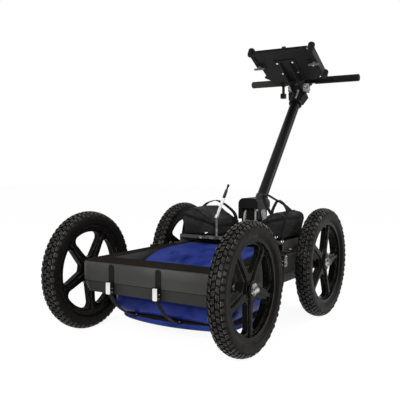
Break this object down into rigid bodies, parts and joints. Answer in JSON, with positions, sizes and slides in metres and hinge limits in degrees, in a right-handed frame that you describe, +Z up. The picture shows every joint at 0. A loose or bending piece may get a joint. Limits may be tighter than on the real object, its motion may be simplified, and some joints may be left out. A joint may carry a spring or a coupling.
{
  "type": "ground penetrating radar cart",
  "caption": "Push cart that carries a low blue radar antenna in a black frame on spoked wheels, with soft cases, a folding mast, handlebar and tilting tray.",
  "frame": {"origin": "on the ground at the middle of the cart's length and width", "axes": "+Z up, -Y the way the cart's front faces, +X to the right of someone looking at its front"},
  "size_m": [0.7032, 1.38, 1.089],
  "materials": {
    "frame_paint": "satin",
    "cast_alloy": "satin",
    "zinc_steel": "satin",
    "chrome": "polished",
    "tyre": "matte",
    "rim": "satin",
    "black_plastic": "matte",
    "strap_metal": "satin",
    "case_fabric": "woven",
    "antenna_blue": "gloss",
    "seal": "matte",
    "board": "gloss",
    "module_case": "satin",
    "mast_paint": "satin",
    "grip_foam": "matte",
    "tray_paint": "matte",
    "grey_plastic": "matte",
    "white_plastic": "satin"
  },
  "bodies": {
    "chassis": {"front_beam": "frame_paint", "rear_beam": "frame_paint", "left_beam": "frame_paint", "right_beam": "frame_paint", "rear_deck": "frame_paint", "deck_bar": "cast_alloy", "frame_bolts": "zinc_steel", "stub_axles": "zinc_steel", "axle_nuts": "chrome", "wheel_bearings": "zinc_steel", "encoder_sensor": "black_plastic", "left_case": "case_fabric", "right_case": "case_fabric", "case_handles": "case_fabric", "battery_pack": "black_plastic", "control_unit": "module_case", "strap_hangers": "strap_metal", "buckle_bases": "black_plastic", "mast_foot": "cast_alloy", "mast_pin": "zinc_steel", "radio_post": "zinc_steel"},
    "antenna": {"antenna_base": "antenna_blue", "antenna_hood": "antenna_blue", "antenna_seal": "seal", "skid_plate": "black_plastic", "dipole_boards": "board", "radar_module": "module_case", "strap_screws": "zinc_steel", "ladder_straps": "black_plastic"},
    "mast": {"mast_block": "black_plastic", "mast_tube": "mast_paint", "head_clamp": "black_plastic", "handlebar": "mast_paint", "grips": "grip_foam", "marker_box": "black_plastic"},
    "tray": {"tray_plate": "tray_paint", "tray_bracket": "tray_paint", "tray_screws": "zinc_steel"},
    "front_right_wheel": {"front_right_tyre": "tyre", "front_right_rim": "rim"},
    "front_left_wheel": {"front_left_tyre": "tyre", "front_left_rim": "rim"},
    "rear_right_wheel": {"rear_right_tyre": "tyre", "rear_right_rim": "rim"},
    "rear_left_wheel": {"rear_left_tyre": "tyre", "rear_left_rim": "rim", "encoder_disc": "black_plastic"},
    "front_left_ratchet": {"front_left_lever": "strap_metal"},
    "front_right_ratchet": {"front_right_lever": "strap_metal"},
    "side_left_ratchet": {"side_left_lever": "strap_metal"},
    "side_right_ratchet": {"side_right_lever": "strap_metal"},
    "mast_clamp": {"clamp_lever": "cast_alloy"},
    "head_lock": {"lock_lever": "zinc_steel"},
    "tilt_bolt": {"tilt_knobs": "black_plastic"},
    "left_clamp": {"left_tray_clamp": "black_plastic"},
    "left_wing": {"left_wing_nut": "grey_plastic"},
    "right_clamp": {"right_tray_clamp": "black_plastic"},
    "right_wing": {"right_wing_nut": "grey_plastic"},
    "radio": {"radio_antenna": "white_plastic"},
    "marker": {"marker_button": "grey_plastic"}
  },
  "joints": [
    {"name": "front_right_spin", "type": "hinge", "parent": "chassis", "child": "front_right_wheel", "pos_m": [0.31275, -0.48383, 0.2032], "axis": [1, 0, 0], "continuous": true},
    {"name": "front_left_spin", "type": "hinge", "parent": "chassis", "child": "front_left_wheel", "pos_m": [-0.31275, -0.48383, 0.2032], "axis": [1, 0, 0], "continuous": true},
    {"name": "rear_right_spin", "type": "hinge", "parent": "chassis", "child": "rear_right_wheel", "pos_m": [0.31275, 0.11777, 0.2032], "axis": [1, 0, 0], "continuous": true},
    {"name": "rear_left_spin", "type": "hinge", "parent": "chassis", "child": "rear_left_wheel", "pos_m": [-0.31275, 0.11777, 0.2032], "axis": [1, 0, 0], "continuous": true},
    {"name": "antenna_float", "type": "slide", "parent": "chassis", "child": "antenna", "axis": [0, 0, 1], "range_m": [0, 0.015], "deforming": ["ladder_straps"]},
    {"name": "front_left_ratchet_pivot", "type": "hinge", "parent": "chassis", "child": "front_left_ratchet", "pos_m": [-0.125, -0.59453, 0.191], "axis": [-1, 0, 0], "range_deg": [0, 70]},
    {"name": "front_right_ratchet_pivot", "type": "hinge", "parent": "chassis", "child": "front_right_ratchet", "pos_m": [0.058, -0.59453, 0.191], "axis": [-1, 0, 0], "range_deg": [0, 70]},
    {"name": "side_left_ratchet_pivot", "type": "hinge", "parent": "chassis", "child": "side_left_ratchet", "pos_m": [-0.2815, -0.14703, 0.253], "axis": [0, 1, 0], "range_deg": [0, 70]},
    {"name": "side_right_ratchet_pivot", "type": "hinge", "parent": "chassis", "child": "side_right_ratchet", "pos_m": [0.2815, -0.14703, 0.253], "axis": [0, -1, 0], "range_deg": [0, 70]},
    {"name": "mast_fold", "type": "hinge", "parent": "chassis", "child": "mast", "pos_m": [0, 0.17097, 0.35], "axis": [1, 0, 0], "range_deg": [-40, 45]},
    {"name": "mast_clamp_swing", "type": "hinge", "parent": "mast", "child": "mast_clamp", "pos_m": [0.044, 0.15497, 0.376], "axis": [1, 0, 0], "range_deg": [0, 110]},
    {"name": "head_lock_swing", "type": "hinge", "parent": "mast", "child": "head_lock", "pos_m": [0, 0.57923, 0.90879], "axis": [1, 0, 0], "range_deg": [-60, 0]},
    {"name": "tray_tilt", "type": "hinge", "parent": "mast", "child": "tray", "pos_m": [0, 0.61983, 0.92208], "axis": [1, 0, 0], "range_deg": [-30, 15]},
    {"name": "tilt_bolt_turn", "type": "hinge", "parent": "mast", "child": "tilt_bolt", "pos_m": [0, 0.61983, 0.92208], "axis": [1, 0, 0], "continuous": true},
    {"name": "left_clamp_slide", "type": "slide", "parent": "tray", "child": "left_clamp", "axis": [-1, 0, 0], "range_m": [0, 0.02]},
    {"name": "left_wing_turn", "type": "hinge", "parent": "tray", "child": "left_wing", "pos_m": [-0.131, 0.47439, 1.01425], "axis": [0, 0.4955, 0.8686], "continuous": true},
    {"name": "right_clamp_slide", "type": "slide", "parent": "tray", "child": "right_clamp", "axis": [1, 0, 0], "range_m": [0, 0.02]},
    {"name": "right_wing_turn", "type": "hinge", "parent": "tray", "child": "right_wing", "pos_m": [0.131, 0.47439, 1.01425], "axis": [0, 0.4955, 0.8686], "continuous": true},
    {"name": "radio_tilt", "type": "hinge", "parent": "chassis", "child": "radio", "pos_m": [-0.052, -0.04453, 0.367], "axis": [0, 1, 0], "range_deg": [-92.5, 47.5]},
    {"name": "marker_press", "type": "slide", "parent": "mast", "child": "marker", "axis": [0, -1, 0], "range_m": [0, 0.0025], "stiffness_N_per_m": 300, "springref_m": -0.001}
  ]
}
